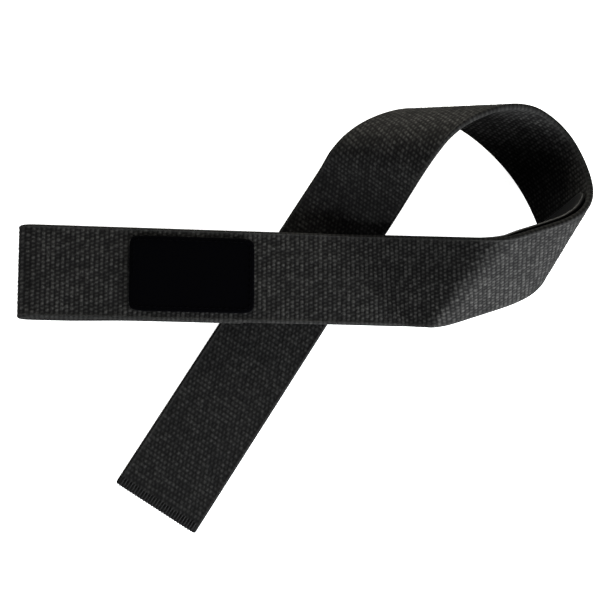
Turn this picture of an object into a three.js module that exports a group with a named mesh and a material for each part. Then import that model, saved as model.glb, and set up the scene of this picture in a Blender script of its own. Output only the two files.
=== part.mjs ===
import * as THREE from "three";

// A weightlifting strap: one length of webbing that folds over itself into a loop.
// Lengths are in millimetres, angles in degrees, and Z is up.

// Webbing: the flat tail, the loop's length between its first and last bend, the wrist limb
// from there to the eye, and the ply turned back under it
const webbingWidth = 38;
const webbingThickness = 2.6;
const tailLength = 149;
const loopGirth = 240;
const wristLength = 150;
const turnedBackLength = 93;

// Eye: the gap between its plies, and where the lower ply starts to close up and has joined
const eyeOpening = 4.8;
const eyeLength = 23;
const joinFromEye = 44;
const plyGap = 0.5;

// Wrist pad, sewn under the wrist limb and round the second fold
const padWidth = 37;
const padThickness = 2.4;
const padGap = 0.4;
const padFromPly = 2;
const padLength = 156;

// Label patch on top of the wrist limb, over the joined plies
const labelLength = 51;
const labelWidth = 31;
const labelThickness = 0.6;
const labelGap = 0.1;
const labelFromEye = 45;

// The tail lies flat and heads this way, counted anticlockwise from the X axis
const tailHeading = 57.7;

// Bends of the loop. Places and spreads are shares of the loop's girth, counted from the end of
// the tail. A positive turn, in degrees, rolls the webbing towards its inner face. The lean says
// how far ahead the right end of the bend's line lies, as a share of its distance across.
const loopBends = [
  { name: "rise of the tail", at: 0, spread: 0.234, turn: -63.71, lean: -0.27 },
  { name: "first fold", at: 0.136, spread: 0.231, turn: 93.7, lean: 0.85 },
  { name: "first fold, far side", at: 0.326, spread: 0.379, turn: 91.9, lean: 0.77 },
  { name: "foot of the loop", at: 0.49, spread: 0.185, turn: 31.3, lean: -0.06 },
  { name: "second fold", at: 0.642, spread: 0.26, turn: 102.4, lean: -0.48 },
  { name: "second fold, top", at: 0.845, spread: 0.095, turn: 57.7, lean: -0.87 },
  { name: "settling on the tail", at: 1, spread: 0.08, turn: -43.94, lean: 0.53 },
  { name: "wrist limb", at: 1.083, spread: 0.304, turn: 2.9, lean: 1.16 },
];

// A half turn spread over a length holds its two sides this share of that length apart
const halfTurnShare = 0.388;

const eyeAt = tailLength + loopGirth + wristLength;
const webbingLength = eyeAt + turnedBackLength;
const closing = degrees(Math.atan((eyeOpening - plyGap) / (joinFromEye - eyeLength)));
const closingSpread = joinFromEye - eyeLength;
const bends = [
  ...loopBends.map(({ at, spread, turn, lean }) => ({
    place: tailLength + at * loopGirth,
    spread: spread * loopGirth,
    turn,
    lean,
  })),
  { place: eyeAt, spread: (eyeOpening + webbingThickness) / halfTurnShare, turn: 180, lean: 0 },
  { place: eyeAt + eyeLength, spread: closingSpread, turn: closing, lean: 0 },
  { place: eyeAt + joinFromEye, spread: closingSpread, turn: -closing, lean: 0 },
];

// Steps along the webbing for the sum of its turns and for the rows of a solid
const marchStep = 0.5;
const longestRow = 8;
const turnPerRow = 6;
const columns = 9;

function radians(angle) {
  return (angle * Math.PI) / 180;
}

function degrees(angle) {
  return (angle * 180) / Math.PI;
}

/** Degrees of turn for each millimetre at a place: the sum of one smooth bump for each bend. */
function turnRate(place) {
  let rate = 0;
  for (const bend of bends) {
    const reach = (place - bend.place) / bend.spread;
    if (Math.abs(reach) < 0.5) {
      rate += (bend.turn * (1 + Math.cos(2 * Math.PI * reach))) / bend.spread;
    }
  }
  return rate;
}

/** Lean of the bend line at a place: straight between the bends and none outside the loop. */
function leanAt(place) {
  const first = bends[0];
  const last = bends[loopBends.length - 1];
  const rows = [
    { place: first.place - first.spread / 2, lean: 0 },
    ...bends.slice(0, loopBends.length),
    { place: last.place + last.spread / 2, lean: 0 },
  ];
  for (let i = 1; i < rows.length; i += 1) {
    const from = rows[i - 1];
    const to = rows[i];
    if (place >= from.place && place < to.place) {
      return THREE.MathUtils.mapLinear(place, from.place, to.place, from.lean, to.lean);
    }
  }
  return 0;
}

/** The webbing's middle line: a point, the way ahead and the way to the right, step by step. */
function marchMiddle() {
  const heading = radians(tailHeading);
  const point = new THREE.Vector3(0, 0, webbingThickness / 2);
  const ahead = new THREE.Vector3(Math.cos(heading), Math.sin(heading), 0);
  const right = new THREE.Vector3(Math.sin(heading), -Math.cos(heading), 0);
  const axis = new THREE.Vector3();
  const stations = [];
  for (let place = 0; place <= webbingLength + webbingWidth; place += marchStep) {
    const lean = leanAt(place);
    stations.push({ place, lean, point: point.clone(), ahead: ahead.clone(), right: right.clone() });
    point.addScaledVector(ahead, marchStep / 2);
    axis.copy(right).addScaledVector(ahead, leanAt(place + marchStep / 2)).normalize();
    const turn = -radians(turnRate(place + marchStep / 2) * marchStep);
    ahead.applyAxisAngle(axis, turn);
    right.applyAxisAngle(axis, turn);
    point.addScaledVector(ahead, marchStep / 2);
  }
  return stations;
}

const stations = marchMiddle();

/** The two stations between whose bend lines a point of the flat webbing lies. */
function stationFor(along, across) {
  let low = 0;
  let high = stations.length - 1;
  while (high - low > 1) {
    const middle = (low + high) >> 1;
    const reached = stations[middle].place + across * stations[middle].lean;
    if (reached <= along) {
      low = middle;
    } else {
      high = middle;
    }
  }
  return { low: stations[low], high: stations[high] };
}

/**
 * A point of the strap. `along` runs from the tail's tip, `across` from the left edge to the
 * right about the middle, and `above` from the webbing's middle layer to its outer face.
 */
function strapPoint(along, across, above) {
  const { low, high } = stationFor(along, across);
  const lowReach = low.place + across * low.lean;
  const highReach = high.place + across * high.lean;
  const share = THREE.MathUtils.clamp((along - lowReach) / (highReach - lowReach), -1, 2);
  const point = low.point.clone().lerp(high.point, share);
  const ahead = low.ahead.clone().lerp(high.ahead, share).normalize();
  const right = low.right.clone().lerp(high.right, share).normalize();
  const lean = THREE.MathUtils.lerp(low.lean, high.lean, share);
  const outward = right.clone().cross(ahead);
  point.addScaledVector(right, across);
  point.addScaledVector(ahead, across * lean);
  return point.addScaledVector(outward, above);
}

/** Places of the rows between two ends: close where the webbing turns, far apart where it is flat. */
function rowPlaces(from, to) {
  const places = [from];
  let turned = 0;
  let passed = 0;
  for (let place = from; place < to; place += marchStep) {
    const half = webbingWidth / 2;
    const rates = [-half, 0, half].map((across) => {
      const { low } = stationFor(place, across);
      return Math.abs(turnRate(low.place));
    });
    turned += Math.max(...rates) * marchStep;
    passed += marchStep;
    if (turned >= turnPerRow || passed >= longestRow) {
      places.push(place + marchStep);
      turned = 0;
      passed = 0;
    }
  }
  if (to - places.at(-1) < marchStep) {
    places.pop();
  }
  places.push(to);
  return places;
}

/** A closed strip of the strap between two places, two sides and two layers. */
function stripGeometry(from, to, width, lower, upper) {
  const places = rowPlaces(from, to);
  const rowSize = columns + 1;
  const layerSize = places.length * rowSize;
  const positions = [];
  for (const above of [lower, upper]) {
    for (const place of places) {
      for (let column = 0; column <= columns; column += 1) {
        const across = width * (column / columns - 0.5);
        positions.push(...strapPoint(place, across, above).toArray());
      }
    }
  }
  const index = [];
  const quad = (a, b, c, d) => index.push(a, b, c, a, c, d);
  const last = places.length - 1;
  for (let row = 0; row < last; row += 1) {
    for (let column = 0; column < columns; column += 1) {
      const a = row * rowSize + column;
      const b = a + rowSize;
      quad(a, b, b + 1, a + 1);
      quad(a + layerSize, a + 1 + layerSize, b + 1 + layerSize, b + layerSize);
    }
    const left = row * rowSize;
    const right = left + columns;
    quad(left, left + layerSize, left + rowSize + layerSize, left + rowSize);
    quad(right, right + rowSize, right + rowSize + layerSize, right + layerSize);
  }
  for (let column = 0; column < columns; column += 1) {
    const start = column;
    const end = last * rowSize + column;
    quad(start, start + 1, start + 1 + layerSize, start + layerSize);
    quad(end, end + layerSize, end + 1 + layerSize, end + 1);
  }
  const geometry = new THREE.BufferGeometry();
  geometry.setAttribute("position", new THREE.Float32BufferAttribute(positions, 3));
  geometry.setIndex(index);
  return geometry;
}

const webbingColour = new THREE.MeshStandardMaterial({ color: 0x1f1f20, roughness: 0.85, metalness: 0 });
const padColour = new THREE.MeshStandardMaterial({ color: 0x242527, roughness: 0.6, metalness: 0 });
const labelColour = new THREE.MeshStandardMaterial({ color: 0x0d0d10, roughness: 0.45, metalness: 0 });

function strapWebbing() {
  const half = webbingThickness / 2;
  const geometry = stripGeometry(0, webbingLength, webbingWidth, -half, half);
  const mesh = new THREE.Mesh(geometry, webbingColour);
  mesh.name = "strap_webbing";
  return mesh;
}

function wristPad() {
  const upper = -webbingThickness / 2 - padGap;
  const padEnd = eyeAt - turnedBackLength - padFromPly;
  const padStart = padEnd - padLength;
  const geometry = stripGeometry(padStart, padEnd, padWidth, upper - padThickness, upper);
  const mesh = new THREE.Mesh(geometry, padColour);
  mesh.name = "wrist_pad";
  return mesh;
}

function wristLabel() {
  const lower = webbingThickness / 2 + labelGap;
  const labelEnd = eyeAt - labelFromEye;
  const from = labelEnd - labelLength;
  const geometry = stripGeometry(from, labelEnd, labelWidth, lower, lower + labelThickness);
  const mesh = new THREE.Mesh(geometry, labelColour);
  mesh.name = "wrist_label";
  return mesh;
}

const strap = new THREE.Group();
strap.add(strapWebbing(), wristPad(), wristLabel());

// The whole stands on Z = 0 with its outline centred over the origin
const box = new THREE.Box3().setFromObject(strap);
const centre = box.getCenter(new THREE.Vector3());
for (const mesh of strap.children) {
  mesh.geometry.translate(-centre.x, -centre.y, -box.min.z);
}

export default strap;
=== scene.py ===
# %% [markdown]
# # A weightlifting strap
#
# The strap is one length of heavy black cotton webbing. Its flat tail runs under the wrist limb,
# folds over twice to make a loop, and comes back as the wrist limb, whose end is turned under
# itself to leave an eye. A soft pad lies under the wrist limb, and a plain patch on top of it.
#
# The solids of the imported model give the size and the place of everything. This lesson lays the
# cloth over them: first the camera, then the webbing, the pad, the patch and the thread.

import math

import bpy
import numpy as np
from mathutils import Matrix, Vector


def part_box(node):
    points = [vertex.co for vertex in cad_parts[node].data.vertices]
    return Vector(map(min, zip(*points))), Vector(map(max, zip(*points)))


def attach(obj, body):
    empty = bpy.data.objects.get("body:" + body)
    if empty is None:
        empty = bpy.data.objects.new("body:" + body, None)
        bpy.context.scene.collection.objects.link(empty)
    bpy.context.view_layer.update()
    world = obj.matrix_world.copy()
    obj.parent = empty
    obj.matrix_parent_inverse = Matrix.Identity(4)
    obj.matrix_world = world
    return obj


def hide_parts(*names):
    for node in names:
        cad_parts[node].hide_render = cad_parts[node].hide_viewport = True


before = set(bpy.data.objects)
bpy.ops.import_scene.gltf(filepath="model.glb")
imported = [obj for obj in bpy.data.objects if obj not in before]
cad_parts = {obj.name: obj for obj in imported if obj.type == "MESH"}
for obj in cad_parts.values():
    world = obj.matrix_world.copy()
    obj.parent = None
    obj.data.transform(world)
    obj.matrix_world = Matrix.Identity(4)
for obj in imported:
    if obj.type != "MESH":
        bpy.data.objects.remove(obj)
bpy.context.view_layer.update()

# %% [markdown]
# ## Camera
#
# The strap was photographed from above, with the camera a little over the tail and the eye, so
# that the near side of the wrist limb shows. The camera's place is worked out from the point that
# it looks at and from two small angles off the vertical, and its three axes make its turn.

# %% Camera
MM = 0.001
aim = np.array([0.04, 7.82, 0.0])
lean_to_tail = math.radians(9.06)
lean_to_eye = math.radians(9.44)
camera_distance = 758.4
view_width = 248.9
sensor_width = 36

lens_data = bpy.data.cameras.new("camera")
lens_data.sensor_width = sensor_width
lens_data.lens = sensor_width * camera_distance / view_width
lens_data.clip_start = 0.01
lens_data.clip_end = 50
backward = np.array([-math.tan(lean_to_eye), -math.tan(lean_to_tail), 1.0])
backward = backward / np.linalg.norm(backward)
rightward = np.cross([0, 1, 0], backward)
rightward = rightward / np.linalg.norm(rightward)
upward = np.cross(backward, rightward)
camera = bpy.data.objects.new("camera", lens_data)
camera.location = MM * (aim + camera_distance * backward)
axes = np.stack([rightward, upward, backward], axis=-1)
camera.rotation_euler = Matrix(axes.tolist()).to_euler()
bpy.context.collection.objects.link(camera)
bpy.context.scene.camera = camera
print("camera at", [round(x, 3) for x in camera.location], "lens", round(lens_data.lens, 1))

# %% [markdown]
# ## The way of the webbing
#
# Webbing bends but does not stretch, so each point of it can be named by where it lies on the
# flat strip: `along` from the tail's tip, `across` from the middle towards the right edge, and
# `above` the middle layer towards the outer face. The strip bends about straight lines that may
# lean, which is what folds it on the slant. Each bend is a row of the table.
#
# Another way is to draw a curve and sweep a profile along it, but a swept profile twists, and
# cloth that is folded on the slant does not.

# %% Bends
webbing_width = 38.0
webbing_thickness = 2.6
tail_length = 149.0
loop_girth = 240.0
wrist_length = 150.0
turned_back_length = 93.0
eye_opening = 4.8
eye_length = 23.0
join_from_eye = 44.0
ply_gap = 0.5
half_turn_share = 0.388
tail_heading = math.radians(57.7)
march_step = 0.5
settling_rounds = 60

eye_at = tail_length + loop_girth + wrist_length
webbing_length = eye_at + turned_back_length
closing_spread = join_from_eye - eye_length
closing_turn = math.degrees(math.atan((eye_opening - ply_gap) / closing_spread))

# Columns: place and spread as shares of the loop's girth, turn in degrees, lean
loop_bends = np.array(
    [
        [0.0, 0.234, -63.71, -0.27],
        [0.136, 0.231, 93.7, 0.85],
        [0.326, 0.379, 91.9, 0.77],
        [0.49, 0.185, 31.3, -0.06],
        [0.642, 0.26, 102.4, -0.48],
        [0.845, 0.095, 57.7, -0.87],
        [1.0, 0.08, -43.94, 0.53],
        [1.083, 0.304, 2.9, 1.16],
    ]
)
loop_bends[:, 0] = tail_length + loop_bends[:, 0] * loop_girth
loop_bends[:, 1] = loop_bends[:, 1] * loop_girth
eye_bends = np.array(
    [
        [eye_at, (eye_opening + webbing_thickness) / half_turn_share, 180.0, 0.0],
        [eye_at + eye_length, closing_spread, closing_turn, 0.0],
        [eye_at + join_from_eye, closing_spread, -closing_turn, 0.0],
    ]
)
bends = np.vstack([loop_bends, eye_bends])
first_bend = loop_bends[0]
last_bend = loop_bends[-1]
lean_places = np.concatenate(
    [
        [first_bend[0] - first_bend[1] / 2],
        loop_bends[:, 0],
        [last_bend[0] + last_bend[1] / 2],
    ]
)
lean_values = np.concatenate([[0], loop_bends[:, 3], [0]])


def lean_at(place):
    """The lean of the bend line at a place, straight between the rows and 0 outside the loop."""
    return np.interp(place, lean_places, lean_values, left=0, right=0)


def turn_rate(place):
    """Radians of turn for each millimetre: a raised cosine for each bend, summed."""
    reach = (place[:, None] - bends[:, 0]) / bends[:, 1]
    bump = bends[:, 2] * (1 + np.cos(2 * np.pi * reach)) / bends[:, 1]
    return np.radians(np.where(np.abs(reach) < 0.5, bump, 0).sum(axis=1))


print("webbing", webbing_length, "mm long, eye at", eye_at)

# %% [markdown]
# The frame is carried along the middle line in half-millimetre steps. At each step it turns about
# the bend line by the turn of that step. After that every point of the cloth is read from these
# stations with whole-array interpolation.


# %% Carry a frame along the webbing
def turned(vector, axis, angle):
    """Rodrigues' formula: the vector turned by an angle about a unit axis."""
    along_axis = axis * (axis @ vector) * (1 - math.cos(angle))
    return vector * math.cos(angle) + np.cross(axis, vector) * math.sin(angle) + along_axis


def march():
    """Places along the middle line, with the point, the way ahead and the way right at each."""
    places = np.arange(0, webbing_length + webbing_width, march_step)
    rates = turn_rate(places + march_step / 2)
    leans = lean_at(places + march_step / 2)
    point = np.array([0, 0, webbing_thickness / 2])
    ahead = np.array([math.cos(tail_heading), math.sin(tail_heading), 0])
    right = np.array([math.sin(tail_heading), -math.cos(tail_heading), 0])
    rows = []
    for rate, lean in zip(rates, leans):
        rows.append(np.concatenate([point, ahead, right]))
        point = point + ahead * march_step / 2
        axis = right + lean * ahead
        axis = axis / np.linalg.norm(axis)
        ahead = turned(ahead, axis, -rate * march_step)
        right = turned(right, axis, -rate * march_step)
        point = point + ahead * march_step / 2
    return places, np.array(rows)


station_places, station_rows = march()


def bend_place(along, across):
    """The place whose bend line passes through a point: place = along - across * lean(place),
    repeated until it settles."""
    place = along
    for _ in range(settling_rounds):
        place = along - across * lean_at(place)
    return place


def on_strap(along, across, above):
    """A point of the strap: the middle line's point at the bend's place, moved across along the
    bend line, and then above along the outward normal, which is right x ahead. All arguments are
    arrays of one shape, in millimetres, and so is the answer with x, y, z as its last axis."""
    along, across, above = np.broadcast_arrays(along, across, above)
    place = bend_place(along, across)
    rows = np.stack(
        [np.interp(place, station_places, column) for column in station_rows.T], axis=-1
    )
    point, ahead, right = rows[..., 0:3], rows[..., 3:6], rows[..., 6:9]
    outward = np.cross(right, ahead)
    outward = outward / np.linalg.norm(outward, axis=-1, keepdims=True)
    bend_line = right + lean_at(place)[..., None] * ahead
    return point + across[..., None] * bend_line + above[..., None] * outward


def strap_shift():
    """How far the marched strap lies from the webbing's solid: the difference of their boxes."""
    along = np.arange(0, webbing_length + march_step / 2, march_step)[:, None, None]
    across = np.linspace(-webbing_width / 2, webbing_width / 2, 7)[None, :, None]
    above = np.array([-webbing_thickness / 2, webbing_thickness / 2])[None, None, :]
    points = on_strap(along, across, above).reshape(-1, 3)
    low, high = (np.array(corner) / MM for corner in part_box("strap_webbing"))
    shift = (low + high - points.min(axis=0) - points.max(axis=0)) / 2
    left_over = np.abs(points.max(axis=0) - points.min(axis=0) - (high - low))
    print("sizes differ from the solid by", left_over.round(3), "mm")
    return shift


shift = strap_shift()

# %% [markdown]
# ## From arrays to meshes
#
# A grid of points becomes a mesh of four-sided faces. Two float attributes can go with it, and a
# UV map in centimetres of flat cloth, so that a pattern in a material follows the webbing round
# its bends.


# %% Mesh helpers
def grid_faces(rows, columns, closed_rows=False, closed_columns=False):
    """Four-sided faces of a grid: each joins a point to its neighbours in the next row and
    column, and the last row or column joins the first where the grid is closed."""
    row_from = np.arange(rows if closed_rows else rows - 1)
    column_from = np.arange(columns if closed_columns else columns - 1)
    row, column = np.meshgrid(row_from, column_from, indexing="ij")
    next_row = (row + 1) % rows
    next_column = (column + 1) % columns
    corners = [
        row * columns + column,
        next_row * columns + column,
        next_row * columns + next_column,
        row * columns + next_column,
    ]
    return np.stack(corners, axis=-1).reshape(-1, 4)


def make_piece(name, points, faces, flat=None, tones=None, node=None):
    """A smooth mesh object at the origin, from points in millimetres and faces. flat gives the
    UV map from along and across, and tones are named numbers for each point."""
    mesh = bpy.data.meshes.new(name)
    points = np.asarray(points).reshape(-1, 3) + shift
    faces = np.asarray(faces)
    corner_count = faces.shape[1]
    mesh.vertices.add(len(points))
    mesh.vertices.foreach_set("co", (points * MM).astype(np.float32).ravel())
    mesh.loops.add(faces.size)
    mesh.loops.foreach_set("vertex_index", faces.astype(np.int32).ravel())
    mesh.polygons.add(len(faces))
    starts = np.arange(len(faces), dtype=np.int32) * corner_count
    mesh.polygons.foreach_set("loop_start", starts)
    mesh.update(calc_edges=True)
    mesh.polygons.foreach_set("use_smooth", np.ones(len(faces), dtype=bool))
    if flat is not None:
        flat = np.asarray(flat).reshape(-1, 2)[faces.ravel()] / 10
        layer = mesh.uv_layers.new(name="flat_cloth")
        layer.uv.foreach_set("vector", flat.astype(np.float32).ravel())
    for tone, values in (tones or {}).items():
        attribute = mesh.attributes.new(tone, "FLOAT", "POINT")
        attribute.data.foreach_set("value", np.asarray(values, dtype=np.float32).ravel())
    mesh.validate()
    piece = bpy.data.objects.new(name, mesh)
    bpy.context.collection.objects.link(piece)
    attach(piece, "root")
    if node:
        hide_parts(node)
    print(f"{name}: {len(points)} points, {len(faces) * (corner_count - 2)} triangles")
    return piece


def smooth_step(value):
    """0 below 0, 1 above 1, and 3v^2 - 2v^3 between."""
    value = np.clip(value, 0, 1)
    return value * value * (3 - 2 * value)


# %% [markdown]
# ## The woven faces
#
# Heavy webbing is a plain weave in which thick warp ends run along the strap and hide the picks
# that cross it. Each pick lifts every second warp end and the next pick lifts the others, so the
# face is a set of ribs across the strap, and each rib is a row of beads that sit between the
# beads of its neighbours. The beads are real relief here, because they show along the folds,
# where a bump map alone would leave a knife-sharp line.
#
# The rows of the mesh are a third of a pick apart, so each rib has its own crown and its own gap.
# No two beads rise alike, and each warp end lies a little before or behind its neighbours, so the
# ribs never look ruled. Near the selvages the beads fade into the rib and the relief into the
# edge. The height of each point is kept as the attribute `crown`, for the finish to read, which
# paints the gaps darker than the crowns as painted shade; over the tail and under its end
# stitches the attribute is lowered as painted shade too.

# %% Woven faces
pick_pitch = 1.95
warp_ends = 45
end_pitch = webbing_width / warp_ends
bead_rise = 0.24
bead_wave = 0.11
rib_power = 0.7
least_luck = 0.62
luck_range = 0.76
plain_luck = 0.4
luck_seed = 7
rim_reach = 1.0
edge_fade = 0.7
edge_crown = 0.75
selvage = 2.0
selvage_wave = 0.35
crown_height = 0.9
samples_along = 3
samples_across = 2
stitch_depth = 4.2
# painted shade: the cloth under the stitches of the tail's end is painted darker by this factor
painted_stitch_shade = 0.8
thread_press = 0.3
end_wobble = 0.23
# painted shade: the tail is painted darker by this factor, fading out past shade_end over
# shade_spread
painted_tail_shade = 0.69
shade_end = 150.0
shade_spread = 50.0
spare_picks = 3
spare_ends = 9

luck_source = np.random.default_rng(luck_seed)
pick_count = int(webbing_length / pick_pitch) + spare_picks
bead_luck = luck_source.random((pick_count, warp_ends + spare_ends))
end_luck = luck_source.random(warp_ends + spare_ends)
middle_end = warp_ends // 2 + spare_ends // 2


def weave_relief(along, across):
    """Height of the weave above its gaps: rib * (rise * luck + wave * cos(pi * (across / end
    pitch + pick))), where rib is a flattened half sine between two gaps, the wave is weaker in
    the selvages, and luck is a number between 0 and 1 that each bead has for itself. Each warp
    end also lies a little before or behind its neighbours. Gives the height and the luck."""
    warp_end = np.round(across / end_pitch).astype(int) + middle_end
    turns = (along - rim_reach) / pick_pitch + end_wobble * (end_luck[warp_end] - 0.5)
    pick = np.floor(turns + 1e-6)
    rib = np.abs(np.sin(np.pi * (turns - pick))) ** rib_power
    beads = across / end_pitch + pick
    wave = np.cos(np.pi * beads)
    bead = np.round((across / end_pitch + pick % 2) / 2).astype(int) + middle_end
    luck = bead_luck[np.clip(pick, 0, None).astype(int), bead]
    inside = smooth_step((webbing_width / 2 - np.abs(across) - selvage) / end_pitch)
    strength = selvage_wave + (1 - selvage_wave) * inside
    lift = bead_rise * (least_luck + luck_range * luck) + bead_wave * wave * strength
    return rib * lift, luck


def selvage_fade(along, across):
    """1 over the weave, falling to 0 at the edges and ends of the webbing."""
    half = webbing_width / 2 - rim_reach
    sides = smooth_step((half - np.abs(across)) / edge_fade)
    start = smooth_step((along - rim_reach) / pick_pitch)
    end = smooth_step((webbing_length - rim_reach - along) / pick_pitch)
    return sides * start * end


def painted_shade(along):
    """Painted shade, a factor on the crowns: 1 over the loop and the wrist limb, less over the
    tail, which is painted darker as shade, and a little less again as painted shade under its end
    stitches."""
    tail = painted_tail_shade + (1 - painted_tail_shade) * smooth_step((along - shade_end) / shade_spread)
    past_stitches = smooth_step((along - stitch_depth) / pick_pitch)
    return tail * (painted_stitch_shade + (1 - painted_stitch_shade) * past_stitches)


def stitch_press(along):
    """How far the stitches of the tail's end press the cloth in, falling to 0 past them."""
    return thread_press * (1 - smooth_step((along - stitch_depth) / pick_pitch))


relief_top = bead_rise + bead_wave
step_along = pick_pitch / samples_along
step_across = end_pitch / samples_across
rows_along = np.arange(rim_reach, webbing_length - rim_reach, step_along)
rows_along = np.append(rows_along, webbing_length - rim_reach)
half_face = webbing_width / 2 - rim_reach
columns_across = np.arange(0.5, webbing_width / 2 / step_across) * step_across
columns_across = columns_across[columns_across < half_face]
columns_across = np.concatenate(
    [[-half_face], -columns_across[::-1], columns_across, [half_face]]
)


def woven_face(name, side):
    """One face of the webbing, side 1 for the outer and -1 for the inner: the flat grid lifted
    to half the thickness, less the relief's depth under its crowns."""
    along = rows_along[:, None]
    across = columns_across[None, :]
    fade = selvage_fade(along, across)
    relief, luck = weave_relief(along, across + (end_pitch if side < 0 else 0))
    depth = fade * np.maximum(relief_top * crown_height - relief, 0)
    above = side * (webbing_thickness / 2 - depth - stitch_press(along))
    points = on_strap(along, across, above)
    faces = grid_faces(len(rows_along), len(columns_across))
    if side < 0:
        faces = faces[:, ::-1]
    flat = np.stack(np.broadcast_arrays(along, across), axis=-1)
    # the crowns' height, which the finish turns into painted shade in the gaps
    crown = np.clip(relief / relief_top, 0, 1) * fade + edge_crown * (1 - fade)
    # painted shade over the tail and under its end stitches
    crown = crown * painted_shade(along)
    tones = {"crown": crown, "luck": luck * fade + plain_luck * (1 - fade)}
    return make_piece(
        name, points, faces[:, ::-1], flat, tones, "strap_webbing"
    )


outer_face = woven_face("webbing_outer_face", 1)
inner_face = woven_face("webbing_inner_face", -1)

# %% [markdown]
# ## The rim
#
# At each selvage the picks turn back on themselves, which rounds the edge and gives it one small
# bump for each pick. The rim is a half-round carried once round the flat outline, corners and
# both ends too, and then laid on the bends as the faces are.


# %% Rim
rim_bump = 0.04
rim_inset = 0.05
rim_samples = 9
# painted shade on the rim: its tone is darker between its bumps and paler on them
rim_crown = 0.3
rim_crown_rise = 0.45


def outline(reach_in):
    """The flat outline, drawn in by reach_in: points, and the outward way at each. The straight
    sides are sampled as the faces are, and each corner is a quarter turn about one point."""
    corner_steps = np.radians(np.arange(15, 90, 15))
    low, high = reach_in, webbing_length - reach_in
    half = webbing_width / 2 - reach_in
    sides = [
        (rows_along, np.full(len(rows_along), half), 90),
        (np.full(len(columns_across), high), columns_across[::-1], 0),
        (rows_along[::-1], np.full(len(rows_along), -half), -90),
        (np.full(len(columns_across), low), columns_across, -180),
    ]
    places, ways = [], []
    for along, across, angle in sides:
        places.append(np.stack([along, across], axis=-1))
        ways.append(np.full(len(along), math.radians(angle)))
        corner = np.array([[along[-1], across[-1]]])
        places.append(np.repeat(corner, len(corner_steps), axis=0))
        ways.append(math.radians(angle) - corner_steps)
    angle = np.concatenate(ways)
    return np.concatenate(places), np.stack([np.cos(angle), np.sin(angle)], axis=-1)


def make_rim():
    """place = outline + outward * reach * cos(turn), above = half thickness * sin(turn), with
    a bump for each pick that is strongest halfway round."""
    places, ways = outline(rim_reach)
    turn = np.linspace(-np.pi / 2, np.pi / 2, rim_samples)[None, :]
    picks = (places[:, :1] - rim_reach) / pick_pitch
    rib = 0.5 - 0.5 * np.cos(2 * np.pi * picks)
    bump = rim_bump * rib * np.cos(turn) ** 2
    bump = bump * np.abs(ways[:, 1])[:, None]
    reach = (rim_reach - rim_inset) * np.cos(turn) + bump
    along = places[:, :1] + ways[:, :1] * reach
    across = places[:, 1:] + ways[:, 1:] * reach
    above = (webbing_thickness / 2 - stitch_press(places[:, :1])) * np.sin(turn)
    points = on_strap(along, across, above)
    faces = grid_faces(len(places), turn.size, closed_rows=True)
    flat = np.stack([along, across + 0 * above], axis=-1)
    # painted shade: darker between the rim's bumps, and over the tail as on the faces
    crown = (rim_crown + rim_crown_rise * rib + 0 * turn) * painted_shade(along)
    tones = {"crown": crown, "luck": plain_luck + 0 * crown}
    return make_piece(
        "webbing_rim", points, faces[:, ::-1], flat, tones, "strap_webbing"
    )


rim = make_rim()

# %% [markdown]
# ## The wrist pad
#
# The pad is a soft foam strip with a fine fabric face. Its section is a rectangle with well
# rounded edges, and its ends are rounded in plan. It is one closed skin: rings of the section,
# each narrower and thinner towards the ends.

# %% Wrist pad
pad_width = 37.0
pad_thickness = 2.4
pad_gap = 0.4
pad_from_ply = 2.0
pad_length = 156.0
pad_end = eye_at - turned_back_length - pad_from_ply
pad_start = pad_end - pad_length
pad_corner = 6.0
pad_edge = 1.15
pad_rows = 190
pad_ring = 96
pad_side_power = 0.28
pad_face_power = 0.55


def make_pad():
    """Rings of a superellipse: across = half width * c, above = centre + half thickness * s,
    where c and s are the cosine and sine of the ring's angle with their size to a small power.
    Near an end the half width follows the plan's corner circle, and the half thickness a
    quarter round."""
    end_rows = pad_edge * (1 - np.cos(np.linspace(0, np.pi / 2, 7)))
    corner_rows = np.linspace(pad_edge, pad_corner, 9)[1:]
    inner = np.linspace(pad_corner, pad_length - pad_corner, pad_rows)[1:-1]
    from_start = np.concatenate([end_rows, corner_rows])
    distance = np.concatenate([from_start, inner, pad_length - from_start[::-1]])
    from_end = np.minimum(distance, pad_length - distance)
    rounding = np.clip(1 - from_end / pad_corner, 0, 1)
    half = pad_width / 2 - pad_corner * (1 - np.sqrt(1 - rounding**2))
    thinning = np.sqrt(1 - np.clip(1 - from_end / pad_edge, 0, 1) ** 2)
    angle = np.linspace(0, 2 * np.pi, pad_ring, endpoint=False)[None, :]
    turn_x = np.sign(np.cos(angle)) * np.abs(np.cos(angle)) ** pad_side_power
    turn_z = np.sign(np.sin(angle)) * np.abs(np.sin(angle)) ** pad_face_power
    along = (pad_start + distance)[:, None] + 0 * angle
    across = half[:, None] * turn_x
    middle = -webbing_thickness / 2 - pad_gap - pad_thickness / 2
    above = middle + pad_thickness / 2 * thinning[:, None] * turn_z
    points = on_strap(along, across, above)
    faces = grid_faces(len(distance), angle.size, closed_columns=True)
    flat = np.stack([along, across], axis=-1)
    return make_piece(
        "pad_skin", points, faces, flat, None, "wrist_pad"
    )


pad = make_pad()

# %% [markdown]
# ## The patch
#
# A plain smooth patch covers the seam on top of the wrist limb. It is a thin closed slab with
# rounded corners whose face is slightly crowned, so that its border catches the light.

# %% Patch
patch_length = 51.0
patch_width = 31.0
patch_thickness = 0.6
patch_gap = 0.1
patch_from_eye = 45.0
patch_end = eye_at - patch_from_eye
patch_middle = patch_end - patch_length / 2
patch_ring = 160
patch_power = 0.16
flat_rings = 14


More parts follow.
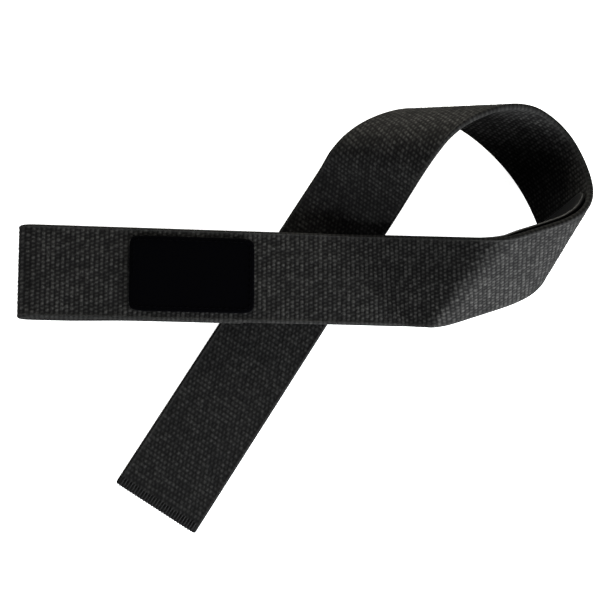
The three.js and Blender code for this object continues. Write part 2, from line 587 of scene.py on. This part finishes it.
def make_patch():
    """Rings that grow from the middle of the underside, round the border, to the middle of the
    face. A ring is a rounded rectangle: a point at an angle t lies at the half sides times the
    cosine and sine of t, each with its size to a small power."""
    angle = np.linspace(0, 2 * np.pi, patch_ring, endpoint=False)[None, :]
    turn_x = np.sign(np.cos(angle)) * np.abs(np.cos(angle)) ** patch_power
    turn_y = np.sign(np.sin(angle)) * np.abs(np.sin(angle)) ** patch_power
    half_inset = np.concatenate([np.linspace(1, 0.06, flat_rings), [0.03, 0.012, 0]])
    inset = np.concatenate([half_inset, half_inset[::-1]])[:, None]
    half_level = np.concatenate([np.zeros(flat_rings), [0, 0.1, 0.35]])
    level = np.concatenate([half_level, 1 - half_level[::-1]])
    reach = 1 - inset
    along = patch_middle + patch_length / 2 * reach * turn_x
    across = patch_width / 2 * reach * turn_y
    lower = webbing_thickness / 2 + patch_gap
    above = lower + patch_thickness * level[:, None] + 0 * angle
    points = on_strap(along, across, above)
    faces = grid_faces(len(level), angle.size, closed_columns=True)
    flat = np.stack([along, across], axis=-1)
    return make_piece(
        "patch", points, faces[:, ::-1], flat, None, "wrist_label"
    )


patch = make_patch()

# %% [markdown]
# ## Thread
#
# A stitch is a short round thread carried along a few points. All stitches of one seam are one
# mesh: the same small tube is laid at every place at once.


# %% Thread helper
def tubes(paths, radius, sides=6):
    """Tubes round many paths at once. paths has one path for each row, its points in
    millimetres on the strap as along, across, above. Each ring lies in the plane across the
    path's way, with its ends drawn in to close the tube."""
    points = on_strap(paths[..., 0], paths[..., 1], paths[..., 2])
    way = np.gradient(points, axis=1)
    way = way / np.linalg.norm(way, axis=-1, keepdims=True)
    helper = np.array([0.31, 0.27, 0.91])  # a way that no stitch has
    side = np.cross(way, helper)
    side = side / np.linalg.norm(side, axis=-1, keepdims=True)
    other = np.cross(way, side)
    angle = np.linspace(0, 2 * np.pi, sides, endpoint=False)
    taper = np.ones(paths.shape[1])
    taper[[0, -1]] = 0.25
    size = (radius * taper)[None, :, None, None]
    ring = np.cos(angle)[:, None] * side[:, :, None] + np.sin(angle)[:, None] * other[:, :, None]
    rings = points[:, :, None] + size * ring
    one = grid_faces(paths.shape[1], sides, closed_columns=True)
    count = paths.shape[1] * sides
    faces = (np.arange(len(paths))[:, None, None] * count + one[None]).reshape(-1, 4)
    flat = np.repeat(paths[:, :, None, :2], sides, axis=2)
    return rings, faces, flat


# %% [markdown]
# The tail's cut end is overcast: the thread goes over the end and into both faces, one stitch
# beside the other, which shows as a fine comb.

# %% Overcast tail end
stitch_pitch = 1.25
thread = 0.22
corner_room = 2.4
wrap_share = 2.2
stitch_slant = 0.12
stitch_seat = 0.08
stitch_sink = 0.35


def overcast():
    """Each stitch's path is half a rounded loop about the cut end: along = depth * (1 - cos t)
    measured from just outside the end, above = a little over half the thickness * sin t."""
    count = int((webbing_width - corner_room) / stitch_pitch)
    seats = (np.arange(count) - (count - 1) / 2) * stitch_pitch
    seats = seats[:, None]
    turn = np.linspace(-1, 1, 15)[None, :]
    round_turn = np.pi / 2 * np.clip(turn * wrap_share, -1, 1)
    straight = np.clip(np.abs(turn) - 1 / wrap_share, 0, 1) / (1 - 1 / wrap_share)
    along = rim_reach * (1 - np.cos(round_turn)) - stitch_slant * np.cos(round_turn)
    along = along + straight * (stitch_depth - rim_reach)
    seat = webbing_thickness / 2 - thread_press + stitch_seat
    above = (seat - stitch_sink * straight**6) * np.sin(round_turn)
    across = seats + stitch_slant * turn
    paths = np.stack(np.broadcast_arrays(along, across, above), axis=-1)
    rings, faces, flat = tubes(paths, thread)
    return make_piece("tail_overcasting", rings, faces, flat, None, None)


overcasting = overcast()

# %% [markdown]
# The patch is sewn down all round, close to its border, in thread of its own black. The stitches
# could be a dotted bump, but a few real ones cost little and catch the light at a low angle.

# %% Border stitches of the patch
border_inset = 1.7
border_pitch = 2.6
border_stitch = 1.9
border_corner = 2.2
border_sink = 0.6


def border_seam():
    """Stitches round a rounded rectangle: the seam's length is shared out evenly, and a stitch
    is a short piece of the line, sunk a little at both of its ends."""
    half_long = patch_length / 2 - border_inset
    half_wide = patch_width / 2 - border_inset
    angle = np.linspace(0, 2 * np.pi, 361)
    corner_along = np.sign(np.cos(angle)) * (half_long - border_corner)
    corner_across = np.sign(np.sin(angle)) * (half_wide - border_corner)
    line_along = corner_along + border_corner * np.cos(angle)
    line_across = corner_across + border_corner * np.sin(angle)
    step = np.hypot(np.diff(line_along), np.diff(line_across))
    walked = np.concatenate([[0], np.cumsum(step)])
    count = int(walked[-1] / border_pitch)
    seats = np.arange(count)[:, None] * walked[-1] / count
    part = np.linspace(0, 1, 7)[None, :]
    walk = seats + border_stitch * part
    along = patch_middle + np.interp(walk, walked, line_along)
    across = np.interp(walk, walked, line_across)
    seat = webbing_thickness / 2 + patch_gap + patch_thickness
    above = seat + thread * (1.1 * np.sin(np.pi * part) ** 0.5 - border_sink)
    paths = np.stack(np.broadcast_arrays(along, across, above), axis=-1)
    rings, faces, flat = tubes(paths, thread * 0.8)
    return make_piece("patch_seam", rings, faces, flat, None, None)


patch_seam = border_seam()

# %% [markdown]
# ## Finishes
#
# A finish is written as an expression. The small class below wraps a socket, and the operators
# on it add Math nodes, so `1 - mask` or `a * b + c` read as they would on paper.


# %% Expressions for shaders
class Signal:
    """A socket of a finish. Arithmetic on it adds Math nodes and gives a new signal."""

    def __init__(self, finish, socket):
        self.finish = finish
        self.socket = socket

    def math(self, operation, *values):
        inputs = dict(enumerate(values))
        return self.finish.node("Math", {"operation": operation}, inputs)

    def __add__(self, other):
        return self.math("ADD", self, other)

    def __radd__(self, other):
        return self.math("ADD", other, self)

    def __sub__(self, other):
        return self.math("SUBTRACT", self, other)

    def __rsub__(self, other):
        return self.math("SUBTRACT", other, self)

    def __mul__(self, other):
        return self.math("MULTIPLY", self, other)

    def __rmul__(self, other):
        return self.math("MULTIPLY", other, self)

    def __pow__(self, other):
        return self.math("POWER", self, other)


class Finish:
    """A material with one Principled shader. Constants are set on the shader's own sockets."""

    def __init__(self, name, **constants):
        self.material = bpy.data.materials.new(name)
        self.material.use_nodes = True
        self.nodes = self.material.node_tree.nodes
        self.links = self.material.node_tree.links
        self.nodes.clear()
        self.shader = self.nodes.new("ShaderNodeBsdfPrincipled")
        output = self.nodes.new("ShaderNodeOutputMaterial")
        self.links.new(self.shader.outputs["BSDF"], output.inputs["Surface"])
        for socket, value in constants.items():
            self.shader.inputs[socket.replace("_", " ")].default_value = value

    def node(self, kind, settings=None, inputs=None, output=0):
        """Adds a node of a kind, sets its settings, feeds its inputs, and gives its output."""
        new = self.nodes.new("ShaderNode" + kind)
        for key, value in (settings or {}).items():
            setattr(new, key, value)
        for key, value in (inputs or {}).items():
            self.feed(new.inputs[key], value)
        return Signal(self, new.outputs[output])

    def feed(self, socket, value):
        if isinstance(value, Signal):
            self.links.new(value.socket, socket)
        else:
            socket.default_value = value

    def set(self, name, value):
        self.feed(self.shader.inputs[name], value)

    def mix(self, mask, first, second):
        """The first colour where the mask is 0 and the second where it is 1."""
        inputs = {0: mask, 6: first, 7: second}
        return self.node("Mix", {"data_type": "RGBA"}, inputs, output=2)

    def stretch(self, scale_along, scale_across):
        """The piece's flat-cloth map, in centimetres, stretched along and across."""
        cloth = self.node("UVMap", {"uv_map": "flat_cloth"})
        factors = (scale_along, scale_across, 1)
        return self.node(
            "VectorMath", {"operation": "MULTIPLY"}, {0: cloth, 1: factors}
        )

    def noise(self, vector, scale=1.0, detail=2.0, roughness=0.5):
        inputs = {"Vector": vector, "Scale": scale, "Detail": detail, "Roughness": roughness}
        return self.node("TexNoise", {}, inputs)

    def bump(self, height, strength, distance):
        inputs = {"Height": height, "Strength": strength, "Distance": distance}
        return self.node("Bump", {}, inputs)

    def paint(self, *pieces):
        for piece in pieces:
            piece.data.materials.clear()
            piece.data.materials.append(self.material)


# %% [markdown]
# ### Cotton webbing
#
# Black cotton is matt. Its gloss and sheen are kept very low, because either lays a grey haze over
# black cloth. What shows the weave is painted shade: the gaps between the beads are painted far
# darker than the crowns, so the finish mixes a painted shade and the cloth's black by the
# attribute
# `crown`, and breaks that up by the luck of each bead, by a grain as fine as the beads and by
# fibres that run along the yarn. A third and palest black is partly fuzz and partly a painted
# highlight on the highest crowns, where a slow cloud, specks and crowns meet.

# %% Cotton finish
cotton = Finish(
    "black_cotton",
    Sheen_Weight=0.008,
    Sheen_Roughness=0.4,
    Specular_IOR_Level=0.05,
)
crown = cotton.node("Attribute", {"attribute_name": "crown"}, output=2)
luck = cotton.node("Attribute", {"attribute_name": "luck"}, output=2)
cloud = cotton.noise(cotton.stretch(0.6, 0.6), 1, 3)
fibre = cotton.noise(cotton.stretch(22, 90), 1, 4, 0.65)
speck = cotton.noise(cotton.stretch(30, 30), 1, 2)
grain = cotton.noise(cotton.stretch(9, 11), 1, 3, 0.75) * 3.2 - 1.1
# painted shade: the gaps between the beads are painted nearly black, the crowns take the cloth's
# black
gap_painted_shade = (0.0016, 0.0016, 0.0017, 1)
crown_black = (0.022, 0.0219, 0.0214, 1)
# partly fuzz and partly a painted highlight, laid on the highest crowns
fuzz_and_painted_highlight = (0.056, 0.055, 0.052, 1)
height = crown**1.9
unevenness = 0.1 + 0.4 * fibre + 0.1 * luck + 0.9 * grain
base = cotton.mix(height * unevenness, gap_painted_shade, crown_black)
base = cotton.mix(1.2 * height * cloud * speck * grain, base, fuzz_and_painted_highlight)
cotton.set("Base Color", base)
cotton.set("Roughness", 0.95 - 0.2 * fibre)
cotton.set("Normal", cotton.bump(fibre + 0.4 * speck, 0.5, 0.00012))
cotton.paint(outer_face, inner_face, rim)
print("cotton finish:", len(cotton.nodes), "nodes")

thread_finish = Finish("black_thread", Roughness=0.6, Specular_IOR_Level=0.1)
strand = thread_finish.noise(thread_finish.stretch(40, 40), 1, 2)
strand_dark = (0.001, 0.001, 0.0013, 1)
strand_pale = (0.005, 0.005, 0.0054, 1)
thread_finish.set("Base Color", thread_finish.mix(strand, strand_dark, strand_pale))
thread_finish.set("Normal", thread_finish.bump(strand, 0.4, 0.0001))
thread_finish.paint(overcasting)

# %% [markdown]
# ### Pad and patch
#
# The pad's fabric face is very fine and nearly black, with a little gloss on its rounded edge. The
# patch is satin: smooth, darker than the cotton, with a fine rib. Its stitches share its finish.

# %% Pad and patch finishes
pad_finish = Finish("pad_fabric", Specular_IOR_Level=0.2, Sheen_Weight=0.01)
knit = pad_finish.noise(pad_finish.stretch(45, 45), 1, 2)
cloudy = pad_finish.noise(pad_finish.stretch(0.8, 0.8), 1, 2)
pad_dark = (0.0015, 0.0015, 0.0017, 1)
pad_pale = (0.006, 0.006, 0.0065, 1)
pad_finish.set("Base Color", pad_finish.mix(knit * cloudy, pad_dark, pad_pale))
pad_finish.set("Roughness", 0.4 + 0.2 * knit)
pad_finish.set("Normal", pad_finish.bump(knit, 0.35, 0.00012))
pad_finish.paint(pad)

satin = Finish("black_satin", Specular_IOR_Level=0.005)
rib = satin.noise(satin.stretch(8, 60), 1, 2)
satin_dark = (0.0002, 0.0002, 0.0003, 1)
satin_pale = (0.0008, 0.0008, 0.0012, 1)
satin.set("Base Color", satin.mix(rib, satin_dark, satin_pale))
satin.set("Roughness", 0.45 + 0.2 * rib)
satin.set("Normal", satin.bump(rib, 0.25, 0.0001))
satin.paint(patch, patch_seam)
print("pad finish:", len(pad_finish.nodes), "nodes, satin:", len(satin.nodes), "nodes")

# %% [markdown]

# %% [markdown]
# ## Floor and light
#
# The floor is plain and white and glows a little, so that it stays as pale as the photograph's
# ground. It is left out of the light that falls on the strap, because it would turn black cloth
# grey. Small soft lights stand low round the strap: the one on the right brightens the limb where
# it rolls over, the one at the back brightens the fold, and the inside of the loop stays dark.
# Light from above would be simpler, but it flattens the weave and fills the inside.


# %% Floor and light
def make_floor():
    half = 3.0
    mesh = bpy.data.meshes.new("floor")
    mesh.from_pydata(
        [(-half, -half, 0), (half, -half, 0), (half, half, 0), (-half, half, 0)],
        [],
        [(0, 1, 2, 3)],
    )
    floor = bpy.data.objects.new("floor", mesh)
    bpy.context.collection.objects.link(floor)
    return floor


floor = make_floor()
paper = Finish("white_paper", Roughness=0.9, Specular_IOR_Level=0.0, Emission_Strength=0.93)
paper.set("Base Color", (0.6, 0.6, 0.6, 1))
paper.set("Emission Color", (1, 1, 1, 1))
paper.paint(floor)
floor.visible_diffuse = False
floor.visible_glossy = False


def soft_light(name, place, size, power, tint=(1, 1, 1)):
    """A square area light at a place in metres, turned towards the origin."""
    data = bpy.data.lights.new(name, "AREA")
    data.size = size
    data.energy = power
    data.color = tint
    light = bpy.data.objects.new(name, data)
    place = np.array(place)
    light.location = place
    way = -place / np.linalg.norm(place)
    light.rotation_euler = (
        math.atan2(math.hypot(way[0], way[1]), -way[2]),
        0,
        math.atan2(way[1], way[0]) - math.pi / 2,
    )
    light.visible_camera = False
    bpy.context.collection.objects.link(light)
    return light


cool = (0.965, 0.99, 1.0)
warm = (1.0, 0.98, 0.88)
soft_light("key", (0.27, -0.18, 0.08), 0.12, 5.7, cool)
soft_light("front", (-0.03, -0.34, 0.17), 0.15, 1.1, cool)
soft_light("fill", (-0.2, -0.3, 0.12), 0.15, 1.3, cool)
soft_light("left", (-0.32, 0.04, 0.1), 0.15, 0.55)
soft_light("back", (0.0, 0.3, 0.08), 0.15, 1.65, warm)

world = bpy.data.worlds.new("studio")
bpy.context.scene.world = world
bpy.context.scene.view_settings.view_transform = "Standard"
world.use_nodes = True
background = world.node_tree.nodes["Background"]
background.inputs["Color"].default_value = (1, 1, 1, 1)
background.inputs["Strength"].default_value = 0.1
